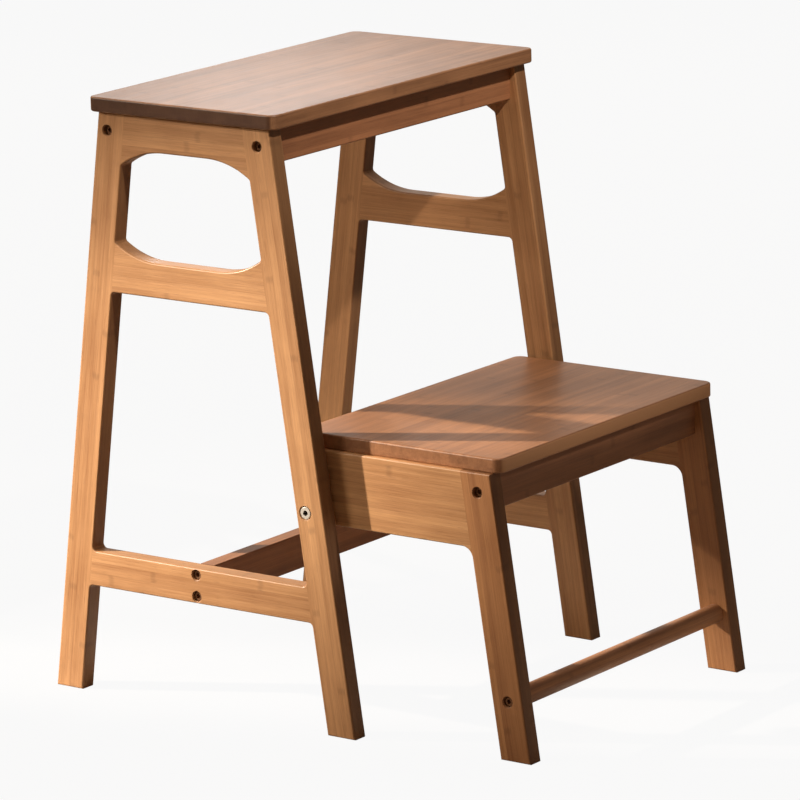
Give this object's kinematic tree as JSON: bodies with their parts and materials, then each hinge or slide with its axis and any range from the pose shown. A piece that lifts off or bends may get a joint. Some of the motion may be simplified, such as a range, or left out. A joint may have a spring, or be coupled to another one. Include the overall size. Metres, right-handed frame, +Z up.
{
  "type": "folding step stool",
  "caption": "Folding wooden step stool with leaning side frames, each with a hand hole; its lower step flips over on a pivot and stows between the frames.",
  "frame": {"origin": "on the floor, in the middle of the stool's outline with the lower step folded out", "axes": "+Z up, +Y from the lower step towards the back of the stool, X across it, with its right side at +X when seen from the step"},
  "size_m": [0.361, 0.4634, 0.5],
  "materials": {
    "leg_wood": "stained bamboo, satin lacquer, grain along the leg",
    "rail_wood": "stained bamboo, satin lacquer, grain along the rail",
    "cross_wood": "stained bamboo, satin lacquer, grain across the stool",
    "board_wood": "stained bamboo board, satin lacquer, grain across the stool",
    "dark_steel": "black oxide",
    "zinc_steel": "zinc plated",
    "nickel": "nickel plated, polished",
    "washer": "moulded, matte"
  },
  "bodies": {
    "main_frame": {"left_front_leg": "leg_wood", "left_rear_leg": "leg_wood", "right_front_leg": "leg_wood", "right_rear_leg": "leg_wood", "left_top_rail": "rail_wood", "left_middle_rail": "rail_wood", "left_bottom_rail": "rail_wood", "right_top_rail": "rail_wood", "right_middle_rail": "rail_wood", "right_bottom_rail": "rail_wood", "seat_front_apron": "cross_wood", "seat_rear_apron": "cross_wood", "bottom_cross_rail": "cross_wood", "seat_board": "board_wood", "seat_apron_bolts": "dark_steel", "cross_rail_screws": "dark_steel", "seat_barrel_nuts": "zinc_steel", "seat_board_screws": "zinc_steel", "left_pivot_bolt": "nickel", "right_pivot_bolt": "nickel", "left_pivot_sleeve": "nickel", "right_pivot_sleeve": "nickel", "left_pivot_washer": "washer", "right_pivot_washer": "washer"},
    "lower_step": {"left_step_leg": "leg_wood", "right_step_leg": "leg_wood", "left_step_panel": "rail_wood", "right_step_panel": "rail_wood", "step_front_apron": "cross_wood", "step_rear_apron": "cross_wood", "step_rung": "cross_wood", "step_board": "board_wood", "step_apron_bolts": "dark_steel", "step_rung_screws": "dark_steel", "step_barrel_nuts": "zinc_steel", "step_board_screws": "zinc_steel"}
  },
  "joints": [
    {"name": "step_fold", "type": "hinge", "parent": "main_frame", "child": "lower_step", "pos_m": [0, -0.03201, 0.1814], "axis": [-1, 0, 0], "range_deg": [0, 180]}
  ]
}
